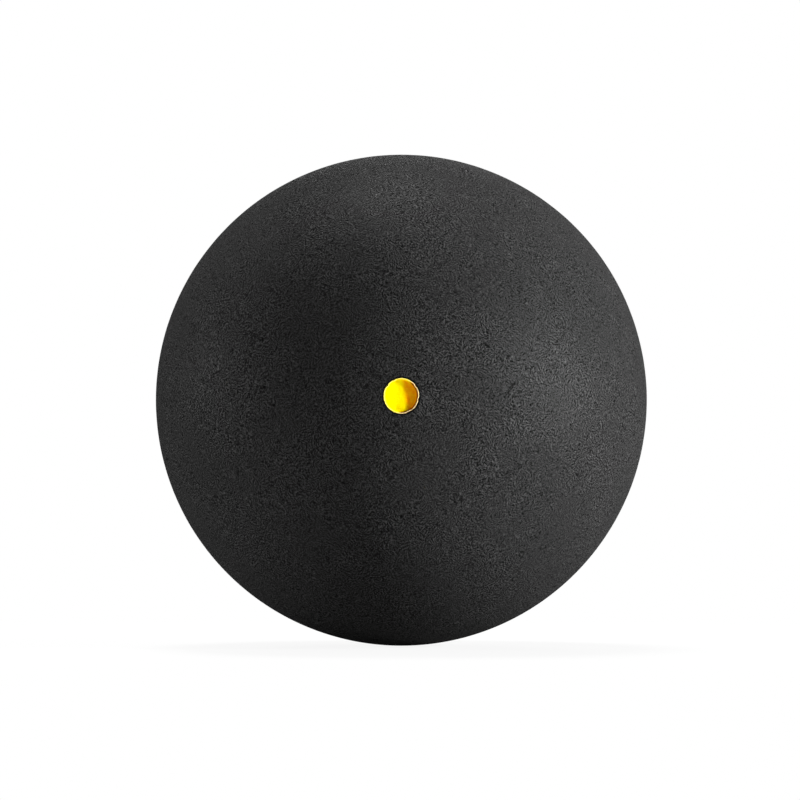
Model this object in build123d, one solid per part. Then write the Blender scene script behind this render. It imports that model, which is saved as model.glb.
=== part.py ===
"""Squash ball: two moulded rubber half shells cemented rim to rim, with one painted speed dot.

Frame, in millimetres: the origin is the ball's centre and +Z is up. The speed dot faces -Y,
and the Y axis is the axis that every piece is turned about. The seam lies in the XZ plane,
halfway between the dot and the opposite pole.

Every section is drawn in the XY plane: x is the distance from the dot axis, and y runs along it.
"""

from build123d import *

import os
from math import sqrt

# Ball and wall
BALL_DIAMETER = 40.0
WALL_THICKNESS = 5.0

# Cement between the two rims, with the bead that the pressed joint squeezes out inside the ball
CEMENT_THICKNESS = 0.15
BEAD_WIDTH = 1.6
BEAD_HEIGHT = 0.45

# Pocket that the mould's pin leaves in the front half shell
POCKET_DIAMETER = 2.8
POCKET_DEPTH = 0.5
POCKET_MOUTH_RADIUS = 0.05

# Paint that lines the pocket: a cup with a rounded lip and a rounded inner corner,
# which takes up no more than a share of the cup's wall
PAINT_FLOOR_THICKNESS = 0.15
PAINT_WALL_THICKNESS = 0.12
PAINT_CORNER_RADIUS = 0.15
PAINT_CORNER_SHARE = 0.8

# Sides of the seam along the Y axis
FRONT = -1
REAR = 1

# Sizes that follow from the driving dimensions
BALL_RADIUS = BALL_DIAMETER / 2
CAVITY_RADIUS = BALL_RADIUS - WALL_THICKNESS
RIM_OFFSET = CEMENT_THICKNESS / 2
POCKET_RADIUS = POCKET_DIAMETER / 2
POCKET_FLOOR = BALL_RADIUS - POCKET_DEPTH


def across(sphere_radius, along):
    """How far from the dot axis a sphere's surface lies, at a distance along that axis."""
    return sqrt(sphere_radius**2 - along**2)


def sphere_arc(sphere_radius, start, end):
    """The arc of a sphere's section from one point to another, by the shorter way round."""
    middle = (Vector(start) + Vector(end)).normalized() * sphere_radius
    return ThreePointArc(start, middle, end)


# The pocket's mouth: where its wall meets the ball's surface
POCKET_MOUTH = across(BALL_RADIUS, POCKET_RADIUS)


def half_shell(side, pole):
    """Half of the ball's wall. The points of its pole run from the surface to the axis."""
    outer_rim = (across(BALL_RADIUS, RIM_OFFSET), RIM_OFFSET)
    inner_rim = (across(CAVITY_RADIUS, RIM_OFFSET), RIM_OFFSET)
    inner_pole = (0, CAVITY_RADIUS)
    section = make_face(
        [
            sphere_arc(BALL_RADIUS, outer_rim, pole[0]),
            Polyline(*pole, inner_pole),
            sphere_arc(CAVITY_RADIUS, inner_pole, inner_rim),
            Line(inner_rim, outer_rim),
        ]
    )
    shell = revolve(section, Axis.Y)
    return shell if side == REAR else mirror(shell, about=Plane.XZ)


def front_half_shell():
    """The half that carries the dot: its pole is the pocket, whose mouth has a moulded round."""
    pocket = [
        (POCKET_RADIUS, POCKET_MOUTH),
        (POCKET_RADIUS, POCKET_FLOOR),
        (0, POCKET_FLOOR),
    ]
    shell = half_shell(FRONT, pocket)
    mouth_edge = shell.edges().filter_by(GeomType.CIRCLE).sort_by(Axis.Y)[0]
    return fillet(mouth_edge, POCKET_MOUTH_RADIUS)


def rear_half_shell():
    """The plain half, whose pole is bare."""
    return half_shell(REAR, [(0, BALL_RADIUS)])


def seam_cement():
    """The cured cement: a thin ring between the rims, flush outside, with a bead inside."""
    bead_edge = BEAD_WIDTH / 2
    rim_outside = across(BALL_RADIUS, RIM_OFFSET)
    rim_inside = across(CAVITY_RADIUS, RIM_OFFSET)
    bead_foot = across(CAVITY_RADIUS, bead_edge)
    bead_crest = CAVITY_RADIUS - BEAD_HEIGHT
    section = make_face(
        [
            ThreePointArc((rim_outside, -RIM_OFFSET), (BALL_RADIUS, 0), (rim_outside, RIM_OFFSET)),
            Line((rim_outside, RIM_OFFSET), (rim_inside, RIM_OFFSET)),
            sphere_arc(CAVITY_RADIUS, (rim_inside, RIM_OFFSET), (bead_foot, bead_edge)),
            ThreePointArc((bead_foot, bead_edge), (bead_crest, 0), (bead_foot, -bead_edge)),
            sphere_arc(CAVITY_RADIUS, (bead_foot, -bead_edge), (rim_inside, -RIM_OFFSET)),
            Line((rim_inside, -RIM_OFFSET), (rim_outside, -RIM_OFFSET)),
        ]
    )
    return revolve(section, Axis.Y)


def yellow_dot():
    """The paint in the pocket: a shallow cup that clings to the pocket's floor and wall."""
    paint_floor = POCKET_FLOOR + PAINT_FLOOR_THICKNESS
    lip_radius = PAINT_WALL_THICKNESS / 2
    lip_base = POCKET_MOUTH - lip_radius
    lip_crest = (POCKET_RADIUS - lip_radius, POCKET_MOUTH)
    cup_radius = POCKET_RADIUS - PAINT_WALL_THICKNESS
    corner_radius = min(PAINT_CORNER_RADIUS, PAINT_CORNER_SHARE * (lip_base - paint_floor))
    section = make_face(
        [
            Polyline((0, POCKET_FLOOR), (POCKET_RADIUS, POCKET_FLOOR), (POCKET_RADIUS, lip_base)),
            ThreePointArc((POCKET_RADIUS, lip_base), lip_crest, (cup_radius, lip_base)),
            FilletPolyline(
                (cup_radius, lip_base),
                (cup_radius, paint_floor),
                (0, paint_floor),
                radius=corner_radius,
            ),
            Line((0, paint_floor), (0, POCKET_FLOOR)),
        ]
    )
    return mirror(revolve(section, Axis.Y), about=Plane.XZ)


PIECES = {
    "front_half_shell": front_half_shell,
    "rear_half_shell": rear_half_shell,
    "seam_cement": seam_cement,
    "yellow_dot": yellow_dot,
}


def main():
    os.makedirs("parts", exist_ok=True)
    for name, make_piece in PIECES.items():
        piece = make_piece()
        piece.label = name
        export_step(piece, f"parts/{name}.step")
        print(f"{name}: {piece.volume:.3f} mm3")


main()
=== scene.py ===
"""Squash ball: the finished looks of a packed rubber ball, laid out as an add-on.

Everything is in metres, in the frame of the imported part: the origin is the ball's centre, +Z is up,
and the yellow dot faces -Y. Two rubber half shells meet at a cemented seam in the XZ plane.
"""

import math
from typing import NamedTuple

import bpy
from bpy.props import FloatProperty, FloatVectorProperty, PointerProperty
from mathutils import Matrix, Vector


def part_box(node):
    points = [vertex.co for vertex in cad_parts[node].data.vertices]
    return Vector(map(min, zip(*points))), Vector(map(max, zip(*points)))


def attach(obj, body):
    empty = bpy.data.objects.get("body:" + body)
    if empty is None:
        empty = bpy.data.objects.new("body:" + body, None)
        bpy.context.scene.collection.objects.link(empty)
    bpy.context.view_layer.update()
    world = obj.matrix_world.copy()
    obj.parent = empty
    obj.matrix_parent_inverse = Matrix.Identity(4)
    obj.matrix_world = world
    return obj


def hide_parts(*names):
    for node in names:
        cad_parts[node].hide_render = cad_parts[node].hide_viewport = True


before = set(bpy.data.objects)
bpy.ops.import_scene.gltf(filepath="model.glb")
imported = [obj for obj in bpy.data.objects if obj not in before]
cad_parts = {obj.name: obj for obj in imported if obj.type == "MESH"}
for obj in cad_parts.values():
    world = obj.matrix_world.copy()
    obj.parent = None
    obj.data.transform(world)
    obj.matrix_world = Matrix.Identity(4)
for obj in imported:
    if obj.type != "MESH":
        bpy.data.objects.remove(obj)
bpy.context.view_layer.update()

bl_info = {
    "name": "Squash Ball",
    "version": (1, 0, 0),
    "blender": (4, 5, 0),
    "location": "View3D > Sidebar > Squash Ball",
    "description": "Builds a buffed rubber squash ball with a painted dot around its packed part",
    "category": "Add Mesh",
}

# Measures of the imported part
REAR_LOW, REAR_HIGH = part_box("rear_half_shell")
CEMENT_LOW, CEMENT_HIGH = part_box("seam_cement")
_, DOT_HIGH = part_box("yellow_dot")

# Units, turns and other values that the whole script uses
MILLIMETRE = 0.001
EIGHTH_TURN = math.pi / 4
QUARTER_TURN = math.pi / 2
HALF_TURN = math.pi
FULL_TURN = 2 * math.pi
WHITE = (1.0, 1.0, 1.0, 1.0)
LENGTH_DIGITS = 6


def length(name, description, default):
    """A length that a user can change."""
    return FloatProperty(
        name=name,
        description=description,
        default=default,
        unit="LENGTH",
        precision=LENGTH_DIGITS,
    )


def share(name, description, default):
    """A share from nothing to all that a user can change."""
    return FloatProperty(
        name=name, description=description, default=default, subtype="FACTOR", min=0.0, max=1.0
    )


def tint(name, description, default):
    """A colour that a user can change."""
    return FloatVectorProperty(
        name=name, description=description, default=default, subtype="COLOR", min=0.0, max=1.0
    )


class BallSizes(bpy.types.PropertyGroup):
    """Sizes of the ball's pieces"""

    ball_radius: length("Ball Radius", "Radius of the round outside of the ball", REAR_HIGH.y)
    wall_thickness: length(
        "Wall Thickness", "Thickness of the rubber between the outside and the hollow", 5.0 * MILLIMETRE
    )
    rim_offset: length(
        "Rim Offset", "Distance from the middle of the seam to the rim of a half shell", REAR_LOW.y
    )
    bead_width: length(
        "Bead Width", "Width of the cement bead on the wall of the hollow", CEMENT_HIGH.y - CEMENT_LOW.y
    )
    bead_height: length(
        "Bead Height", "How far the cement bead stands into the hollow", 0.45 * MILLIMETRE
    )
    pocket_radius: length("Pocket Radius", "Radius of the pocket that holds the dot", DOT_HIGH.x)
    pocket_depth: length(
        "Pocket Depth", "Depth of the pocket's floor under the round outside", REAR_HIGH.y + DOT_HIGH.y
    )
    mouth_radius: length(
        "Mouth Radius", "Radius of the moulded round at the pocket's mouth", 0.05 * MILLIMETRE
    )
    paint_floor: length("Paint Floor", "Thickness of the paint on the pocket's floor", 0.15 * MILLIMETRE)
    paint_wall: length("Paint Wall", "Thickness of the paint on the pocket's wall", 0.12 * MILLIMETRE)
    paint_corner: length(
        "Paint Corner", "Radius of the corner between the paint's floor and wall", 0.15 * MILLIMETRE
    )


class Buffing(bpy.types.PropertyGroup):
    """What buffing takes off the outside of the half shells"""

    skin: length("Skin", "Thickness that buffing takes off everywhere", 0.006 * MILLIMETRE)
    wave_size: length("Wave Size", "Distance from one slow wave to the next", 6.0 * MILLIMETRE)
    wave_depth: length("Wave Depth", "Depth of the slow waves", 0.03 * MILLIMETRE)
    dent_size: length("Dent Size", "Distance from one small dent to the next", 0.7 * MILLIMETRE)
    dent_depth: length("Dent Depth", "Depth of the small dents", 0.012 * MILLIMETRE)
    rim_fade: length("Rim Fade", "Width of the strip along the rim that is worn round", 0.35 * MILLIMETRE)
    rim_roll: length("Rim Roll", "How far the worn rim drops", 0.02 * MILLIMETRE)
    mouth_fade: length("Mouth Fade", "Width of the strip round the pocket without waves", 0.3 * MILLIMETRE)


class RubberFinish(bpy.types.PropertyGroup):
    """Finish of the buffed rubber"""

    ridge_colour: tint("Ridge Colour", "Colour of the grain's ridges", (0.044, 0.044, 0.044))
    pit_colour: tint("Pit Colour", "Colour at the bottom of the grain's pits", (0.0035, 0.0035, 0.0035))
    roughness: share("Roughness", "Roughness of the rubber", 0.42)
    polish: share("Polish", "Share of the light that the buffed ridges reflect", 0.007)
    # The dark strip round the pocket is painted shade at the pocket's mouth
    mouth_shade_width: length("Strip Width", "Width of the dark strip round the pocket", 0.2 * MILLIMETRE)
    grain_size: length("Grain Size", "Distance from one ridge of the grain to the next", 0.14 * MILLIMETRE)
    grain_depth: length("Grain Depth", "Height of the grain's ridges", 0.06 * MILLIMETRE)
    ridge_width: length("Ridge Width", "Width of the grain's ridges", 0.08 * MILLIMETRE)
    swirl_size: length(
        "Swirl Size", "Distance over which the grain changes its direction", 1.6 * MILLIMETRE
    )
    swirl_reach: length("Swirl Reach", "How far the swirls pull the grain along", 0.6 * MILLIMETRE)
    patch_size: length("Patch Size", "Distance from one smooth patch to the next", 5.0 * MILLIMETRE)
    patch_calm: share("Patch Calm", "How much of the grain is missing in a smooth patch", 0.4)


class CementFinish(bpy.types.PropertyGroup):
    """Finish of the cured cement"""

    colour: tint("Colour", "Colour of the cement", (0.005, 0.005, 0.005))
    worn_colour: tint("Worn Colour", "Colour of the cement where buffing wore it", (0.011, 0.011, 0.011))
    roughness: share("Roughness", "Roughness of the cement", 0.5)
    gloss: share("Gloss", "Strength of the cement's gloss", 0.03)
    grain_size: length("Grain Size", "Distance from one grain of the cement to the next", 0.4 * MILLIMETRE)
    grain_depth: length("Grain Depth", "Height of the cement's grain", 0.01 * MILLIMETRE)
    sink: length("Sink", "How far the cement lies under the outside of the ball", 0.012 * MILLIMETRE)
    lump_size: length("Lump Size", "Distance from one lump of the cement to the next", 0.8 * MILLIMETRE)
    lump_depth: length("Lump Depth", "Depth of the hollows between the lumps", 0.006 * MILLIMETRE)


class PaintFinish(bpy.types.PropertyGroup):
    """Finish of the dot's paint"""

    colour: tint("Colour", "Colour of the paint", (1.0, 0.82, 0.0))
    # This colour is painted shadow: the deeper orange of the floor's shaded right side
    shadow_colour: tint("Thin Colour", "Colour of the paint where it is thin", (0.95, 0.3, 0.0))
    # This colour is painted shade: the dark line of the right wall, which lies in shadow
    wall_shade_colour: tint(
        "Wall Colour", "Colour of the thinnest paint, on the pocket's wall", (0.3, 0.08, 0.0)
    )
    # This colour is a painted highlight on the lip, strongest on the lit right side
    lip_highlight_colour: tint("Lip Colour", "Colour of the scuffed paint on the lip", (1.0, 0.85, 0.42))
    roughness: share("Roughness", "Roughness of the paint", 0.25)
    gloss: share("Gloss", "Strength of the paint's gloss", 0.01)
    mottle_size: length(
        "Mottle Size", "Distance from one mottle of the paint to the next", 0.25 * MILLIMETRE
    )
    mottle_depth: length("Mottle Depth", "Height of the mottles", 0.01 * MILLIMETRE)
    clearance: length("Clearance", "Gap between the paint and the pocket's wall", 0.002 * MILLIMETRE)
    lump_size: length("Lump Size", "Distance from one lump of the paint to the next", 0.3 * MILLIMETRE)
    lump_depth: length("Lump Depth", "Depth of the hollows between the lumps", 0.035 * MILLIMETRE)
    nick_size: length("Nick Size", "Distance along the lip from one nick to the next", 0.5 * MILLIMETRE)
    nick_depth: length("Nick Depth", "Depth of the deepest nicks in the lip", 0.35 * MILLIMETRE)
    nick_level: share("Nick Level", "How much of the lip has no nick", 0.56)


class StageSettings(bpy.types.PropertyGroup):
    """Floor, room and camera"""

    floor_radius: length("Floor Radius", "Radius of the floor", 2.5)
    floor_shade: share("Floor Shade", "How much light the floor throws back", 0.45)
    near_white: share("Near White", "How white the floor looks beside the ball", 0.9)
    shadow_reach: length("Shadow Reach", "How far from the ball its shadow can be seen", 0.08)
    room_light: share("Room Light", "Strength of the light that comes from all round", 0.06)
    lamp_distance: length("Lamp Distance", "Distance of the lamps from the ball", 0.6)
    camera_distance: length("Camera Distance", "Distance of the camera from the ball", 0.4)
    camera_rise: FloatProperty(
        name="Camera Rise",
        description="Angle of the camera above the ball's middle",
        default=math.radians(-0.958),
        subtype="ANGLE",
    )
    camera_lens: FloatProperty(
        name="Camera Lens", description="Focal length of the camera", default=220.98, unit="CAMERA"
    )
    aim_across: length("Aim Across", "How far right of the middle the camera aims", -0.11 * MILLIMETRE)
    aim_up: length("Aim Up", "How far above the middle the camera aims", 0.014 * MILLIMETRE)


class BallSettings(bpy.types.PropertyGroup):
    """Everything about the ball that can be changed"""

    sizes: PointerProperty(type=BallSizes)
    buffing: PointerProperty(type=Buffing)
    rubber: PointerProperty(type=RubberFinish)
    cement: PointerProperty(type=CementFinish)
    paint: PointerProperty(type=PaintFinish)
    stage: PointerProperty(type=StageSettings)


class Value:
    """A node's output that takes part in Python arithmetic, which adds Math nodes."""

    def __init__(self, nodes, socket):
        self.nodes = nodes
        self.socket = socket

    def __add__(self, other):
        return self.nodes.maths("ADD", self, other)

    def __radd__(self, other):
        return self.nodes.maths("ADD", other, self)

    def __sub__(self, other):
        return self.nodes.maths("SUBTRACT", self, other)

    def __rsub__(self, other):
        return self.nodes.maths("SUBTRACT", other, self)

    def __mul__(self, other):
        return self.nodes.maths("MULTIPLY", self, other)

    def __rmul__(self, other):
        return self.nodes.maths("MULTIPLY", other, self)

    def __truediv__(self, other):
        return self.nodes.maths("DIVIDE", self, other)

    def __rtruediv__(self, other):
        return self.nodes.maths("DIVIDE", other, self)

    def __pow__(self, other):
        return self.nodes.maths("POWER", self, other)

    def __abs__(self):
        return self.nodes.maths("ABSOLUTE", self)

    def __gt__(self, other):
        return self.nodes.maths("GREATER_THAN", self, other)

    def __lt__(self, other):
        return self.nodes.maths("LESS_THAN", self, other)


# The Mix node's sockets, which stand in one row for all its kinds of value
FIRST_VECTOR = 4
SECOND_VECTOR = 5
MIXED_VECTOR = 1
FIRST_COLOUR = 6
SECOND_COLOUR = 7
MIXED_COLOUR = 2


class Nodes:
    """Adds nodes to one node tree."""

    def __init__(self, tree):
        self.tree = tree

    def plug(self, socket, value):
        """Sets a socket, or links it to one output or to each output of a list."""
        if isinstance(value, list):
            for part in value:
                self.plug(socket, part)
        elif isinstance(value, Value):
            self.tree.links.new(value.socket, socket)
        else:
            socket.default_value = value

    def add(self, kind, settings=None, sockets=None, output=0):
        """One node: its type, its settings, its sockets' values or links, and the output wanted."""
        node = self.tree.nodes.new(kind)
        for name, value in (settings or {}).items():
            setattr(node, name, value)
        for key, value in (sockets or {}).items():
            self.plug(node.inputs[key], value)
        if output is None:
            return None
        if isinstance(output, tuple):
            return [Value(self, node.outputs[name]) for name in output]
        return Value(self, node.outputs[output])

    def maths(self, operation, *terms):
        """A sum or function of numbers."""
        return self.add("ShaderNodeMath", {"operation": operation}, dict(enumerate(terms)))

    def vector(self, operation, *terms):
        """A sum or function of vectors."""
        return self.add("ShaderNodeVectorMath", {"operation": operation}, dict(enumerate(terms)))

    def scaled(self, vector, scale):
        """A vector made longer or shorter."""
        return self.add(
            "ShaderNodeVectorMath", {"operation": "SCALE"}, {"Vector": vector, "Scale": scale}
        )

    def split(self, vector):
        """The three numbers of a vector."""
        return self.add("ShaderNodeSeparateXYZ", sockets={0: vector}, output=("X", "Y", "Z"))

    def joined(self, x, y, z):
        """A vector of three numbers."""
        return self.add("ShaderNodeCombineXYZ", sockets={"X": x, "Y": y, "Z": z})

    def step(self, value, low, high):
        """A smooth step from 0 at low to 1 at high."""
        return self.add(
            "ShaderNodeMapRange",
            {"interpolation_type": "SMOOTHSTEP"},
            {"Value": value, "From Min": low, "From Max": high},
        )

    def noise(self, vector, scale, detail=1.0, distortion=0.0, output="Fac"):
        """A noise, with its scale in features to the metre."""
        return self.add(
            "ShaderNodeTexNoise",
            {"noise_dimensions": "3D"},
            {"Vector": vector, "Scale": scale, "Detail": detail, "Distortion": distortion},
            output,
        )

    def mixed(self, factor, first, second):
        """A colour between two colours."""
        return self.add(
            "ShaderNodeMix",
            {"data_type": "RGBA"},
            {"Factor": factor, FIRST_COLOUR: first, SECOND_COLOUR: second},
            MIXED_COLOUR,
        )

    def blended(self, factor, first, second):
        """A shader between two shaders."""
        return self.add("ShaderNodeMixShader", sockets={"Fac": factor, 1: first, 2: second})

    def bump(self, height, depth):
        """A normal for a surface with heights from 0 to a depth."""
        return self.add("ShaderNodeBump", sockets={"Strength": 1.0, "Distance": depth, "Height": height})

    def seen(self):
        """1 for what the camera sees, straight on or in a gloss or through something clear."""
        camera, glossy, through = self.add(
            "ShaderNodeLightPath", output=("Is Camera Ray", "Is Glossy Ray", "Is Transmission Ray")
        )
        return self.maths("MINIMUM", camera + glossy + through, 1.0)


# Kinds of input that a shape can have
SOCKET_TYPES = {
    float: "NodeSocketFloat",
    int: "NodeSocketInt",
    bpy.types.Material: "NodeSocketMaterial",
}


class ShapeTree(Nodes):
    """A Geometry Nodes tree with named inputs."""

    def __init__(self, name, inputs):
        super().__init__(bpy.data.node_groups.new(name, "GeometryNodeTree"))
        self.inputs = inputs
        face = self.tree.interface
        face.new_socket("Geometry", in_out="INPUT", socket_type="NodeSocketGeometry")
        face.new_socket("Geometry", in_out="OUTPUT", socket_type="NodeSocketGeometry")
        for label, value in inputs.items():
            face.new_socket(label, in_out="INPUT", socket_type=SOCKET_TYPES[type(value)])
        labels = ("Geometry", *inputs)
        self.given = dict(zip(labels, self.add("NodeGroupInput", output=labels)))

    def finish(self, shape):
        """Ends the tree in real geometry with its material."""
        real = self.add("GeometryNodeRealizeInstances", sockets={"Geometry": shape})
        painted = self.add(
            "GeometryNodeSetMaterial", sockets={"Geometry": real, "Material": self.given["Material"]}
        )
        self.add("NodeGroupOutput", sockets={"Geometry": painted}, output=None)

    def smooth(self, shape, sharp_angle):
        """Smooth faces, with edges over an angle left sharp."""
        soft = self.add("GeometryNodeSetShadeSmooth", {"domain": "FACE"}, {"Geometry": shape})
        bend = self.add("GeometryNodeInputMeshEdgeAngle")
        return self.add(
            "GeometryNodeSetShadeSmooth",
            {"domain": "EDGE"},
            {"Geometry": soft, "Selection": bend > sharp_angle, "Shade Smooth": False},
        )

    def position(self):
        """The place of each point."""
        return self.add("GeometryNodeInputPosition")

    def grid(self, size, across, along):
        """A flat square grid, with its numbers of points across and along."""
        return self.add(
            "GeometryNodeMeshGrid",
            sockets={"Size X": size, "Size Y": size, "Vertices X": across, "Vertices Y": along},
        )

    def placed(self, shape, position):
        """A shape whose points are moved to new places."""
        return self.add(
            "GeometryNodeSetPosition", sockets={"Geometry": shape, "Position": position}
        )

    def merged(self, shapes, distance):
        """One shape of several, with points that lie close together made one."""
        together = self.add("GeometryNodeJoinGeometry", sockets={"Geometry": shapes})
        return self.add(
            "GeometryNodeMergeByDistance", sockets={"Geometry": together, "Distance": distance}
        )

    def turned(self, reach, angle, height):
        """The point at a distance from the Z axis, an angle round it and a height along it."""
        x = reach * self.maths("COSINE", angle)
        y = reach * self.maths("SINE", angle)
        return self.joined(x, y, height)

    def either(self, test, chosen, other):
        """One vector where a test is 1, and another where it is 0."""
        return self.add(
            "ShaderNodeMix",
            {"data_type": "VECTOR"},
            {"Factor": test, FIRST_VECTOR: other, SECOND_VECTOR: chosen},
            MIXED_VECTOR,
        )


def shaped_piece(name, tree, start_mesh, turn):
    """Evaluates a shape tree on a mesh and keeps the result as a plain mesh, turned into its place."""
    piece = bpy.data.objects.new(name, start_mesh)
    bpy.context.scene.collection.objects.link(piece)
    modifier = piece.modifiers.new(tree.tree.name, "NODES")
    modifier.node_group = tree.tree
    for socket in tree.tree.interface.items_tree:
        if socket.in_out == "INPUT" and socket.name in tree.inputs:
            modifier[socket.identifier] = tree.inputs[socket.name]
    evaluated = piece.evaluated_get(bpy.context.evaluated_depsgraph_get())
    mesh = bpy.data.meshes.new_from_object(evaluated)
    piece.modifiers.remove(modifier)
    piece.data = mesh
    mesh.name = name
    mesh.transform(turn)
    bpy.data.meshes.remove(start_mesh)
    if not mesh.polygons:
        raise RuntimeError(f"{name} came out empty")
    # A grid starts with an empty material slot
    if mesh.materials[0] is None:
        mesh.materials.pop(index=0)
    return piece


def dress(piece, node):
    """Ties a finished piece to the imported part."""
    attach(piece, "root")
    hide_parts(node)


# Pieces are made with their pole up, and these turns put them in place
MATRIX_SIZE = 4
TO_FRONT = Matrix.Rotation(QUARTER_TURN, MATRIX_SIZE, "X")
TO_REAR = Matrix.Rotation(-QUARTER_TURN, MATRIX_SIZE, "X")

# Sides of the flat grids that are bent into shape: one runs from -1 to 1, the other from -0.5 to 0.5
RING_GRID = 2.0
STRIP_GRID = 1.0
STRIP_HALF = STRIP_GRID / 2

# Rings of the half shells: outside, in the hollow and round the pocket, and rows of the flat rim
OUTER_RINGS = 150
INNER_RINGS = 30
MOUTH_RING = 16
MOUTH_ARC_RINGS = 4
HALF_RING = 0.5
RING_SIDES = 8
RIM_ROWS = 2

# Points nearer than this are made one, and edges that bend more than this stay sharp
WELD = 0.001 * MILLIMETRE
SHARP_ANGLE = math.radians(50)

# Noises in the shapes
DENT_DETAIL = 2.0
DENT_DISTORTION = 0.4
LUMP_DETAIL = 2.0


def nested_rings(tree, rings):
    """Reads a square grid as rings nested round its middle: each point's ring number and angle."""
    x, y, _ = tree.split(tree.position())
    across = abs(x)
    along = abs(y)
    ring = tree.maths("ROUND", tree.maths("MAXIMUM", across, along) * rings)
    beside = EIGHTH_TURN * (y / x) + HALF_TURN * (x < 0.0)
    above = QUARTER_TURN - EIGHTH_TURN * (x / y) + HALF_TURN * (y < 0.0)
    wide = across > along
    return ring, wide * beside + (1 - wide) * above


def half_shell_tree(inputs):
    """A half shell with its pole up: buffed outside, pocket at the pole, flat rim and plain hollow."""
    tree = ShapeTree("Half shell", inputs)
    given = tree.given
    radius = given["Ball Radius"]
    rim_offset = given["Rim Offset"]
    mouth_ring = given["Mouth Ring"]
    pocket_radius = given["Pocket Radius"]
    mouth_radius = given["Mouth Radius"]
    rings = given["Rings"]
    inner_rings = given["Inner Rings"]

    # The round at the pocket's mouth touches the outside and the pocket's wall
    round_reach = pocket_radius + mouth_radius
    round_height = tree.maths("SQRT", (radius - mouth_radius) ** 2.0 - round_reach**2.0)
    round_start = tree.maths("ARCTAN2", round_height, round_reach)
    mouth_angle = QUARTER_TURN - round_start
    rim_angle = tree.maths("ARCCOSINE", rim_offset / radius)

    # Outside: rings from the mouth to the rim
    ring, angle = nested_rings(tree, rings)
    along = (ring - mouth_ring) / (rings - mouth_ring)
    dip = mouth_angle + along * (rim_angle - mouth_angle)
    outside = tree.turned(radius * tree.maths("SINE", dip), angle, radius * tree.maths("COSINE", dip))

    # Buffing takes a little off: slow waves, small dents, and a roll at the rim
    waves = tree.noise(outside, 1 / given["Wave Size"])
    dents = tree.noise(outside, 1 / given["Dent Size"], DENT_DETAIL, DENT_DISTORTION)
    from_mouth = radius * (dip - mouth_angle)
    from_rim = radius * (rim_angle - dip)
    off_mouth = tree.step(from_mouth, 0.0, given["Mouth Fade"])
    off_rim = tree.step(from_rim, 0.0, given["Rim Fade"])
    roll = (1 - off_rim) * given["Rim Roll"]
    uneven = waves * given["Wave Depth"] + dents * given["Dent Depth"]
    taken = given["Skin"] + roll + off_mouth * off_rim * uneven
    buffed = tree.vector(
        "SUBTRACT", outside, tree.scaled(tree.vector("NORMALIZE", outside), taken)
    )

    # Pocket: the round at its mouth, then its wall and floor
    arc_share = tree.maths("MINIMUM", (mouth_ring - ring) / MOUTH_ARC_RINGS, 1.0)
    arc = round_start + arc_share * (HALF_TURN - round_start)
    mouth = tree.turned(
        round_reach + mouth_radius * tree.maths("COSINE", arc),
        angle,
        round_height + mouth_radius * tree.maths("SINE", arc),
    )
    foot_ring = mouth_ring - (MOUTH_ARC_RINGS + 1)
    floor_reach = pocket_radius * tree.maths("MINIMUM", ring / foot_ring, 1.0)
    floor = tree.turned(floor_reach, angle, radius - given["Pocket Depth"])
    in_pocket = ring < mouth_ring - (MOUTH_ARC_RINGS + HALF_RING)
    in_mouth = ring < mouth_ring - HALF_RING
    lowered = tree.vector("SUBTRACT", mouth, tree.joined(0.0, 0.0, given["Skin"]))
    profile = tree.either(in_pocket, floor, tree.either(in_mouth, lowered, buffed))
    grid_points = 2 * rings + 1
    shell = tree.placed(tree.grid(RING_GRID, grid_points, grid_points), profile)

    # Hollow, and the flat rim whose inner points gather on the hollow's wider spacing
    cavity = radius - given["Wall Thickness"]
    inner_rim_angle = tree.maths("ARCCOSINE", rim_offset / cavity)
    inner_ring, inner_angle = nested_rings(tree, inner_rings)
    inner_dip = inner_ring / inner_rings * inner_rim_angle
    inside = tree.turned(
        cavity * tree.maths("SINE", inner_dip), inner_angle, cavity * tree.maths("COSINE", inner_dip)
    )
    inner_points = 2 * inner_rings + 1
    hollow = tree.placed(tree.grid(RING_GRID, inner_points, inner_points), inside)
    hollow = tree.add("GeometryNodeFlipFaces", sockets={"Mesh": hollow})

    sides = RING_SIDES * rings
    inner_sides = RING_SIDES * inner_rings
    x, y, _ = tree.split(tree.position())
    side = tree.maths("ROUND", (x + STRIP_HALF) * sides)
    inner_side = tree.maths("ROUND", side * inner_sides / sides)
    outer_end = radius - given["Skin"] - given["Rim Roll"]
    outer_reach = outer_end * tree.maths("SINE", rim_angle)
    outer_height = outer_end * tree.maths("COSINE", rim_angle)
    inner_reach = tree.maths("SQRT", cavity**2.0 - rim_offset**2.0)
    outer_rim = tree.turned(outer_reach, side * FULL_TURN / sides, outer_height)
    inner_rim = tree.turned(inner_reach, inner_side * FULL_TURN / inner_sides, rim_offset)
    strip = tree.grid(STRIP_GRID, sides + 1, RIM_ROWS)
    rim = tree.placed(strip, tree.either(y > 0.0, outer_rim, inner_rim))

    tree.finish(tree.smooth(tree.merged([shell, hollow, rim], WELD), SHARP_ANGLE))
    return tree


def empty_mesh():
    """A mesh for a shape that needs nothing to start from."""
    return bpy.data.meshes.new("start")


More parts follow.
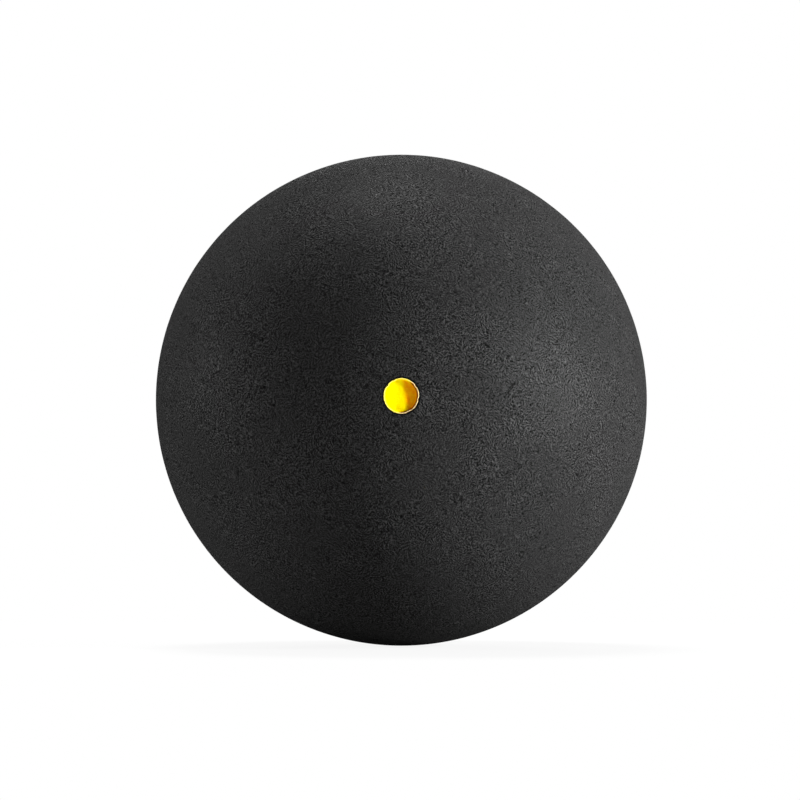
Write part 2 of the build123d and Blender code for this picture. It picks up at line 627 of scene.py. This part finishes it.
def make_half_shells(settings):
    """The two half shells: one with the pocket in front, and a plain one behind."""
    sizes = settings.sizes
    buffing = settings.buffing
    shared = {
        "Ball Radius": sizes.ball_radius,
        "Wall Thickness": sizes.wall_thickness,
        "Rim Offset": sizes.rim_offset,
        "Pocket Depth": sizes.pocket_depth,
        "Rings": OUTER_RINGS,
        "Inner Rings": INNER_RINGS,
        "Skin": buffing.skin,
        "Wave Size": buffing.wave_size,
        "Wave Depth": buffing.wave_depth,
        "Dent Size": buffing.dent_size,
        "Dent Depth": buffing.dent_depth,
        "Rim Fade": buffing.rim_fade,
        "Rim Roll": buffing.rim_roll,
        "Material": rubber_material(settings.rubber, sizes.pocket_radius),
    }
    pocket = {
        "Pocket Radius": sizes.pocket_radius,
        "Mouth Radius": sizes.mouth_radius,
        "Mouth Ring": MOUTH_RING,
        "Mouth Fade": buffing.mouth_fade,
    }
    bare_pole = {
        "Pocket Radius": 0.0,
        "Mouth Radius": 0.0,
        "Mouth Ring": 0,
        "Mouth Fade": WELD,
    }
    front = shaped_piece("front_shell", half_shell_tree(shared | pocket), empty_mesh(), TO_FRONT)
    rear = shaped_piece("rear_shell", half_shell_tree(shared | bare_pole), empty_mesh(), TO_REAR)
    dress(front, "front_half_shell")
    dress(rear, "rear_half_shell")


def arc_points(centre, radius, start, end, steps):
    """Points of an arc, as distances from the axis and heights along it."""
    points = []
    for step in range(steps + 1):
        angle = start + (end - start) * step / steps
        points.append((centre[0] + radius * math.cos(angle), centre[1] + radius * math.sin(angle)))
    return points


def profile_mesh(points):
    """Loose points that a turned piece takes its profile from."""
    mesh = bpy.data.meshes.new("profile")
    mesh.from_pydata([(reach, 0.0, height) for reach, height in points], [], [])
    return mesh


def turned_tree(name, inputs):
    """A piece turned about the Z axis from the points of its profile, a little uneven."""
    tree = ShapeTree(name, inputs)
    given = tree.given
    segments = given["Segments"]
    profile = given["Geometry"]
    count = tree.add("GeometryNodeAttributeDomainSize", {"component": "MESH"}, {0: profile}, "Point Count")
    position = tree.position()
    x, y, _ = tree.split(position)
    segment = tree.maths("ROUND", (x + STRIP_HALF) * segments)
    point = tree.maths("ROUND", (y + STRIP_HALF) * (count - 1))
    sampled = tree.add(
        "GeometryNodeSampleIndex",
        {"data_type": "FLOAT_VECTOR", "domain": "POINT"},
        {"Geometry": profile, "Value": position, "Index": point},
    )
    reach, _, height = tree.split(sampled)
    angle = segment * FULL_TURN / segments

    # Nicks: the upper edge draws in where a noise round the axis is high
    compass = tree.turned(given["Edge Radius"], angle, 0.0)
    nick = tree.maths("MAXIMUM", tree.noise(compass, 1 / given["Nick Size"]) - given["Nick Level"], 0.0)
    raised = tree.step(height, given["Edge Foot"], given["Edge Top"])
    drawn_in = reach - raised * nick * given["Nick Depth"]
    body = tree.placed(tree.grid(STRIP_GRID, segments + 1, count), tree.turned(drawn_in, angle, height))

    # Hollows between lumps, all inwards
    closed = tree.merged([body], WELD)
    lumps = tree.noise(tree.position(), 1 / given["Lump Size"], LUMP_DETAIL)
    normal = tree.add("GeometryNodeInputNormal")
    offset = tree.scaled(normal, (lumps - 1.0) * given["Lump Depth"])
    uneven = tree.add("GeometryNodeSetPosition", sockets={"Geometry": closed, "Offset": offset})
    tree.finish(tree.smooth(uneven, SHARP_ANGLE))
    return tree


# Steps round and along the turned pieces
SEAM_SEGMENTS = 720
SEAM_STEPS = 6
BEAD_STEPS = 12
DOT_SEGMENTS = 160
LIP_STEPS = 10
CORNER_STEPS = 10
UNDER_STEPS = 6
FLOOR_STEPS = 16

# For a turned piece whose edge has no nicks
NO_NICKS = {"Nick Size": 1.0, "Nick Level": 1.0, "Nick Depth": 0.0}


def make_seam(settings):
    """The cement: a thin ring between the rims, with a bead in the hollow."""
    sizes = settings.sizes
    cement = settings.cement
    radius = sizes.ball_radius - cement.sink
    cavity = sizes.ball_radius - sizes.wall_thickness
    half_gap = sizes.rim_offset
    bead_edge = sizes.bead_width / 2
    inner = math.sqrt(cavity**2 - half_gap**2)
    foot = math.sqrt(cavity**2 - bead_edge**2)
    crest = cavity - sizes.bead_height
    # The bead's back is an arc from foot to foot over the crest
    rise = foot - crest
    bead_radius = (bead_edge**2 + rise**2) / (2 * rise)
    bead_centre = (crest + bead_radius, 0.0)
    bead_reach = math.asin(bead_edge / bead_radius)
    swell = math.asin(half_gap / radius)
    profile = arc_points((0.0, 0.0), radius, -swell, swell, SEAM_STEPS)
    profile += [(inner, half_gap)]
    profile += arc_points(
        bead_centre, bead_radius, HALF_TURN - bead_reach, HALF_TURN + bead_reach, BEAD_STEPS
    )
    profile += [(inner, -half_gap), profile[0]]
    inputs = {
        "Segments": SEAM_SEGMENTS,
        "Edge Radius": radius,
        "Edge Foot": 0.0,
        "Edge Top": half_gap,
        **NO_NICKS,
        "Lump Size": cement.lump_size,
        "Lump Depth": cement.lump_depth,
        "Material": cement_material(cement),
    }
    seam = shaped_piece("seam_line", turned_tree("Seam cement", inputs), profile_mesh(profile), TO_FRONT)
    dress(seam, "seam_cement")


def make_dot(settings):
    """The paint in the pocket: a cup with a rounded lip and a rounded inner corner."""
    sizes = settings.sizes
    paint = settings.paint
    wall_radius = sizes.pocket_radius - paint.clearance
    pocket_floor = sizes.ball_radius - sizes.pocket_depth
    mouth = math.sqrt(sizes.ball_radius**2 - sizes.pocket_radius**2)
    lip_radius = sizes.paint_wall / 2
    lip_centre = (wall_radius - lip_radius, mouth - lip_radius)
    paint_top = pocket_floor + sizes.paint_floor
    floor_edge = wall_radius - sizes.paint_wall - sizes.paint_corner
    corner_centre = (floor_edge, paint_top + sizes.paint_corner)
    profile = [(wall_radius * step / UNDER_STEPS, pocket_floor) for step in range(UNDER_STEPS + 1)]
    profile += arc_points(lip_centre, lip_radius, 0.0, HALF_TURN, LIP_STEPS)
    profile += arc_points(corner_centre, sizes.paint_corner, 0.0, -QUARTER_TURN, CORNER_STEPS)
    profile += [
        (floor_edge * (FLOOR_STEPS - step) / FLOOR_STEPS, paint_top)
        for step in range(1, FLOOR_STEPS + 1)
    ]
    inputs = {
        "Segments": DOT_SEGMENTS,
        "Edge Radius": wall_radius,
        "Edge Foot": paint_top,
        "Edge Top": mouth,
        "Nick Size": paint.nick_size,
        "Nick Level": paint.nick_level,
        "Nick Depth": paint.nick_depth,
        "Lump Size": paint.lump_size,
        "Lump Depth": paint.lump_depth,
        "Material": paint_material(
            paint, floor_edge, wall_radius - sizes.paint_wall, lip_centre[1], mouth
        ),
    }
    dot = shaped_piece("painted_dot", turned_tree("Painted dot", inputs), profile_mesh(profile), TO_FRONT)
    dress(dot, "yellow_dot")


def new_material(name):
    """An empty material, and what adds nodes to it."""
    material = bpy.data.materials.new(name)
    material.use_nodes = True
    material.node_tree.nodes.clear()
    return material, Nodes(material.node_tree)


def close_material(nodes, shader):
    """Makes a shader the surface of its material."""
    nodes.add("ShaderNodeOutputMaterial", sockets={"Surface": shader}, output=None)


def opaque(colour):
    """A colour as a colour socket takes it."""
    return (*colour, 1.0)


def grey(level):
    """A grey as a colour socket takes it."""
    return (level, level, level, 1.0)


def object_place(nodes):
    """Places in the frame of the part."""
    return nodes.add("ShaderNodeTexCoord", output="Object")


# The level halfway up a noise
MIDDLE = 0.5
MIDDLE_GREY = (MIDDLE, MIDDLE, MIDDLE)

# Rubber: the levels between which patches turn rough, and how sharply the ridges stand out
PATCH_LEVELS = (0.30, 0.70)
RIDGE_CONTRAST = 2.0
RIDGE_SHARPNESS = 1.6
GRAIN_DETAIL = 1.0
GRAIN_DISTORTION = 0.5

# Paint: how far the painted shadow takes the shadow colour, how much the mottle changes that, and the
# least of the lip's painted highlight
SHADOW_SHARE = 0.92
MOTTLE_STRENGTH = 0.8
LEAST_LIP_HIGHLIGHT = 0.5

# Where the painted shade and highlight begin and where they are strongest, as shares of the way from
# middle to wall
PAINTED_SIDE_FROM = 0.05
PAINTED_SIDE_TO = 0.4

# Which way the painted shade and highlight lie, as turns from the dot's right side: up on the floor, down
# on the wall
SHADOW_FLOOR_TURN = math.radians(9)
WALL_SIDE_TURN = math.radians(-20)


def from_axis(nodes, place):
    """How far a place lies from the axis of the dot."""
    x, _, z = nodes.split(place)
    return nodes.maths("SQRT", x**2.0 + z**2.0)


def rubber_material(finish, pocket_radius):
    """Buffed rubber: a dense grain of ridges and pits that swirls and is calmer in patches."""
    material, nodes = new_material("buffed_rubber")
    place = object_place(nodes)
    flow = nodes.noise(place, 1 / finish.swirl_size, output="Color")
    swirl = nodes.vector("SUBTRACT", flow, MIDDLE_GREY)
    bent = nodes.vector("ADD", place, nodes.scaled(swirl, finish.swirl_reach))
    grain = nodes.noise(bent, 1 / finish.grain_size, GRAIN_DETAIL, GRAIN_DISTORTION)
    rough_patch = nodes.step(nodes.noise(place, 1 / finish.patch_size), *PATCH_LEVELS)
    strength = 1.0 - finish.patch_calm * (1.0 - rough_patch)

    # A ridge is where the grain stands higher than a little way along the swirl
    along_swirl = nodes.vector("NORMALIZE", swirl)
    beside = nodes.vector("ADD", bent, nodes.scaled(along_swirl, finish.ridge_width))
    lower = nodes.noise(beside, 1 / finish.grain_size, GRAIN_DETAIL, GRAIN_DISTORTION)
    rise = MIDDLE + RIDGE_CONTRAST * strength * (grain - lower)
    level = nodes.maths("MAXIMUM", rise, 0.0) ** RIDGE_SHARPNESS

    # A dark strip round the pocket in front takes the colour of the pits: painted shade at the pocket's
    # mouth
    _, y, _ = nodes.split(place)
    mouth_shade_edge = pocket_radius + finish.mouth_shade_width
    off_mouth_shade = nodes.step(from_axis(nodes, place), pocket_radius, mouth_shade_edge)
    # The grain's level, with the painted shade round the pocket, sets both the colour and the gloss
    buffed = level * nodes.maths("MAXIMUM", off_mouth_shade, y > 0.0)
    normal = nodes.bump(strength * grain, finish.grain_depth)
    dull = nodes.add(
        "ShaderNodeBsdfPrincipled",
        sockets={
            "Base Color": nodes.mixed(buffed, opaque(finish.pit_colour), opaque(finish.ridge_colour)),
            "Roughness": finish.roughness,
            "Specular IOR Level": 0.0,
            "Normal": normal,
        },
    )
    # The ridges reflect a little, no more at the edge of the ball than at its middle
    polished = nodes.add(
        "ShaderNodeBsdfPrincipled",
        sockets={"Base Color": WHITE, "Metallic": 1.0, "Roughness": finish.roughness, "Normal": normal},
    )
    close_material(nodes, nodes.blended(finish.polish * buffed, dull, polished))
    return material


def cement_material(finish):
    """Cured cement: darker than the rubber, with a fine worn grain."""
    material, nodes = new_material("cured_cement")
    grain = nodes.noise(object_place(nodes), 1 / finish.grain_size)
    shader = nodes.add(
        "ShaderNodeBsdfPrincipled",
        sockets={
            "Base Color": nodes.mixed(grain, opaque(finish.colour), opaque(finish.worn_colour)),
            "Roughness": finish.roughness,
            "Specular IOR Level": finish.gloss,
            "Normal": nodes.bump(grain, finish.grain_depth),
        },
    )
    close_material(nodes, shader)
    return material


def painted_side(nodes, place, turn, reach):
    """How far a place lies towards the side that takes painted shade or highlight: 0 in the middle and to
    one side, 1 towards the other side.
    """
    x, _, z = nodes.split(place)
    toward = x * math.cos(turn) + z * math.sin(turn)
    return nodes.step(toward / reach, PAINTED_SIDE_FROM, PAINTED_SIDE_TO)


def paint_material(finish, wall_foot, wall_face, lip_foot, lip_crest):
    """Satin paint with a faint mottle, with painted shade to the right on the floor and wall and a painted
    highlight on the lip.
    """
    material, nodes = new_material("satin_paint")
    place = object_place(nodes)
    mottle = nodes.noise(place, 1 / finish.mottle_size)
    _, y, _ = nodes.split(place)
    # Side of the floor that takes the painted shadow
    floor_shadow_side = painted_side(nodes, place, SHADOW_FLOOR_TURN, wall_face)
    # Side that takes the painted shade on the wall and the painted highlight on the lip
    shade_and_highlight_side = painted_side(nodes, place, WALL_SIDE_TURN, wall_face)
    on_wall = nodes.step(from_axis(nodes, place), wall_foot, wall_face)
    under_lip = nodes.step(y, -lip_crest, -lip_foot)
    # Painted shadow on the floor's right side, broken up by a random mottle
    mottled_shadow = floor_shadow_side * (SHADOW_SHARE + MOTTLE_STRENGTH * (mottle - MIDDLE))
    floor_with_shadow = nodes.mixed(mottled_shadow, opaque(finish.colour), opaque(finish.shadow_colour))
    # Painted shade on the right wall
    wall = nodes.mixed(shade_and_highlight_side, opaque(finish.colour), opaque(finish.wall_shade_colour))
    # A painted highlight on the lip all round, strongest on the right side where the light falls
    lip_highlight_share = LEAST_LIP_HIGHLIGHT + (1.0 - LEAST_LIP_HIGHLIGHT) * shade_and_highlight_side
    lip = nodes.mixed(lip_highlight_share, opaque(finish.colour), opaque(finish.lip_highlight_colour))
    edge = nodes.mixed(under_lip, lip, wall)
    shader = nodes.add(
        "ShaderNodeBsdfPrincipled",
        sockets={
            "Base Color": nodes.mixed(on_wall, floor_with_shadow, edge),
            "Roughness": finish.roughness,
            "Specular IOR Level": finish.gloss,
            "Normal": nodes.bump(mottle, finish.mottle_depth),
        },
    )
    close_material(nodes, shader)
    return material


# Sides of the round floor
FLOOR_SIDES = 64


def make_floor(stage, drop):
    """A pale floor that looks white, and whose shadow fades away from the ball."""
    points = []
    for side in range(FLOOR_SIDES):
        turn = FULL_TURN * side / FLOOR_SIDES
        points.append((stage.floor_radius * math.cos(turn), stage.floor_radius * math.sin(turn), -drop))
    mesh = bpy.data.meshes.new("floor")
    mesh.from_pydata(points, [], [list(range(FLOOR_SIDES))])
    floor = bpy.data.objects.new("floor", mesh)
    bpy.context.scene.collection.objects.link(floor)
    material, nodes = new_material("floor_white")
    x, y, _ = nodes.split(object_place(nodes))
    away = nodes.maths("SQRT", x**2.0 + y**2.0)
    whiteness = stage.near_white + (1.0 - stage.near_white) * nodes.step(away, 0.0, stage.shadow_reach)
    lit = nodes.add("ShaderNodeBsdfDiffuse", sockets={"Color": grey(stage.floor_shade)})
    white = nodes.add("ShaderNodeEmission", sockets={"Color": WHITE, "Strength": 1.0})
    close_material(nodes, nodes.blended(nodes.seen() * whiteness, lit, white))
    mesh.materials.append(material)


def make_world(stage):
    """A room that looks white and lights the ball dimly."""
    world = bpy.data.worlds.new("studio")
    world.use_nodes = True
    world.node_tree.nodes.clear()
    nodes = Nodes(world.node_tree)
    dim = nodes.add("ShaderNodeBackground", sockets={"Color": WHITE, "Strength": stage.room_light})
    white = nodes.add("ShaderNodeBackground", sockets={"Color": WHITE, "Strength": 1.0})
    shader = nodes.blended(nodes.seen(), dim, white)
    nodes.add("ShaderNodeOutputWorld", sockets={"Surface": shader}, output=None)
    bpy.context.scene.world = world


class Lamp(NamedTuple):
    """A lamp that faces the ball: its direction in degrees, size in metres and power in watts.

    Azimuth 0 is in front of the dot, and 90 is to its right.
    """

    name: str
    azimuth: float
    elevation: float
    width: float
    height: float
    power: float


LAMPS = (
    Lamp("key_lamp", azimuth=68.5, elevation=17.0, width=0.05, height=0.06, power=5.0),
    Lamp("low_lamp", azimuth=79.0, elevation=1.5, width=0.1, height=0.05, power=5.9),
    Lamp("back_lamp", azimuth=180.0, elevation=22.0, width=0.2, height=0.2, power=3.6),
    Lamp("top_lamp", azimuth=-170.0, elevation=70.0, width=0.2, height=0.2, power=5.8),
    Lamp("left_lamp", azimuth=-100.0, elevation=8.0, width=0.2, height=0.15, power=2.6),
    Lamp("high_left_lamp", azimuth=-120.0, elevation=45.0, width=0.2, height=0.2, power=0.8),
    Lamp("front_lamp", azimuth=0.0, elevation=8.0, width=0.2, height=0.15, power=0.12),
)


def around(azimuth, elevation, distance):
    """A point round the ball."""
    return distance * Vector(
        (
            math.sin(azimuth) * math.cos(elevation),
            -math.cos(azimuth) * math.cos(elevation),
            math.sin(elevation),
        )
    )


def aim(thing, target):
    """Turns a lamp or the camera to face a point."""
    thing.rotation_euler = (target - thing.location).to_track_quat("-Z", "Y").to_euler()


def make_lamp(lamp, distance):
    """A soft oval lamp that the camera doesn't see."""
    data = bpy.data.lights.new(lamp.name, "AREA")
    data.shape = "ELLIPSE"
    data.size = lamp.width
    data.size_y = lamp.height
    data.energy = lamp.power
    thing = bpy.data.objects.new(lamp.name, data)
    thing.location = around(math.radians(lamp.azimuth), math.radians(lamp.elevation), distance)
    aim(thing, Vector())
    thing.visible_camera = False
    bpy.context.scene.collection.objects.link(thing)


# The camera sees nothing nearer than this share of its distance
NEAREST_SHARE = 0.1


def make_camera(stage):
    """A camera with a long lens, in front of the dot."""
    data = bpy.data.cameras.new("camera")
    data.lens = stage.camera_lens
    data.clip_start = NEAREST_SHARE * stage.camera_distance
    data.clip_end = stage.camera_distance + 2 * stage.floor_radius
    camera = bpy.data.objects.new("camera", data)
    camera.location = around(0.0, stage.camera_rise, stage.camera_distance)
    aim(camera, Vector((stage.aim_across, 0.0, stage.aim_up)))
    bpy.context.scene.collection.objects.link(camera)
    bpy.context.scene.camera = camera


def make_stage(settings):
    """Everything round the ball."""
    make_floor(settings.stage, settings.sizes.ball_radius)
    make_world(settings.stage)
    for lamp in LAMPS:
        make_lamp(lamp, settings.stage.lamp_distance)
    make_camera(settings.stage)
    bpy.context.scene.view_settings.view_transform = "Standard"


class SQUASH_BALL_OT_half_shells(bpy.types.Operator):
    """Builds the two buffed rubber half shells"""

    bl_idname = "squash_ball.half_shells"
    bl_label = "Half Shells"

    def execute(self, context):
        make_half_shells(context.scene.squash_ball)
        return {"FINISHED"}


class SQUASH_BALL_OT_seam(bpy.types.Operator):
    """Builds the cement between the half shells"""

    bl_idname = "squash_ball.seam"
    bl_label = "Seam Cement"

    def execute(self, context):
        make_seam(context.scene.squash_ball)
        return {"FINISHED"}


class SQUASH_BALL_OT_dot(bpy.types.Operator):
    """Builds the painted dot in its pocket"""

    bl_idname = "squash_ball.dot"
    bl_label = "Painted Dot"

    def execute(self, context):
        make_dot(context.scene.squash_ball)
        return {"FINISHED"}


class SQUASH_BALL_OT_stage(bpy.types.Operator):
    """Builds the floor, the light and the camera"""

    bl_idname = "squash_ball.stage"
    bl_label = "Stage"

    def execute(self, context):
        make_stage(context.scene.squash_ball)
        return {"FINISHED"}


class SQUASH_BALL_PT_panel(bpy.types.Panel):
    """Lists the steps that build the ball"""

    bl_idname = "SQUASH_BALL_PT_panel"
    bl_label = "Squash Ball"
    bl_space_type = "VIEW_3D"
    bl_region_type = "UI"
    bl_category = "Squash Ball"

    def draw(self, context):
        for step in STEPS:
            self.layout.operator(step.bl_idname)


STEPS = (
    SQUASH_BALL_OT_half_shells,
    SQUASH_BALL_OT_seam,
    SQUASH_BALL_OT_dot,
    SQUASH_BALL_OT_stage,
)
GROUPS = (BallSizes, Buffing, RubberFinish, CementFinish, PaintFinish, StageSettings, BallSettings)
CLASSES = (*GROUPS, *STEPS, SQUASH_BALL_PT_panel)


def register():
    """Adds the settings, steps and panel to Blender."""
    for cls in CLASSES:
        bpy.utils.register_class(cls)
    bpy.types.Scene.squash_ball = PointerProperty(type=BallSettings)


def unregister():
    """Takes the settings, steps and panel out again."""
    del bpy.types.Scene.squash_ball
    for cls in reversed(CLASSES):
        bpy.utils.unregister_class(cls)


def main():
    """Builds the ball and its stage."""
    register()
    bpy.ops.squash_ball.half_shells()
    bpy.ops.squash_ball.seam()
    bpy.ops.squash_ball.dot()
    bpy.ops.squash_ball.stage()


if __name__ == "__main__":
    main()
